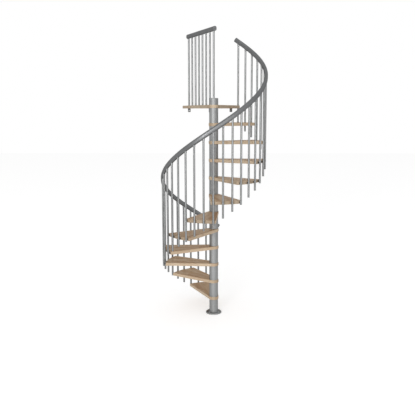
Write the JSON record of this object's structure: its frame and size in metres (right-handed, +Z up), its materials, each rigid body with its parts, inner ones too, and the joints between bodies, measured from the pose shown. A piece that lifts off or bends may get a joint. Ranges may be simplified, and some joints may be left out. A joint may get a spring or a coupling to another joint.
{
  "type": "spiral staircase",
  "caption": "Round spiral staircase kit: wedge-shaped wooden treads threaded on a grey metal centre pole, with round balusters, a helical handrail and a guarded landing platform.",
  "frame": {"origin": "centre of the base flange's underside, on the pole's axis at floor level", "axes": "+Z up along the pole; +Y from the pole square to the landing edge, towards the upper floor; +X along the landing edge. The stair climbs anticlockwise seen from above"},
  "size_m": [1.401, 1.5905, 3.83],
  "materials": {
    "wood": "clear satin lacquer on block-laminated light hardwood",
    "pole_paint": "satin pearl-grey powder coat",
    "baluster_paint": "satin pearl-grey powder coat",
    "rail_paint": "glossy grey coat",
    "fixing_plastic": "matte moulded",
    "fixing_steel": "satin dark grey paint"
  },
  "bodies": {
    "root": {"base_flange": "pole_paint", "centre_mast": "pole_paint", "pole_cap": "pole_paint", "pole_collar": "pole_paint", "pole_tube_01": "pole_paint", "pole_tube_02": "pole_paint", "pole_tube_03": "pole_paint", "pole_tube_04": "pole_paint", "pole_tube_05": "pole_paint", "pole_tube_06": "pole_paint", "pole_tube_07": "pole_paint", "pole_tube_08": "pole_paint", "pole_tube_09": "pole_paint", "pole_tube_10": "pole_paint", "pole_tube_11": "pole_paint", "pole_tube_12": "pole_paint", "tread_01": "wood", "tread_02": "wood", "tread_03": "wood", "tread_04": "wood", "tread_05": "wood", "tread_06": "wood", "tread_07": "wood", "tread_08": "wood", "tread_09": "wood", "tread_10": "wood", "tread_11": "wood", "platform": "wood", "landing_brackets": "fixing_steel", "balusters_1": "baluster_paint", "balusters_2": "baluster_paint", "balusters_3": "baluster_paint", "balusters_4": "baluster_paint", "platform_balusters": "baluster_paint", "tread_spacers": "fixing_plastic", "rail_ferrules": "baluster_paint", "handrail_1": "rail_paint", "handrail_2": "rail_paint", "handrail_3": "rail_paint", "handrail_4": "rail_paint", "platform_rail": "rail_paint"}
  },
  "joints": []
}
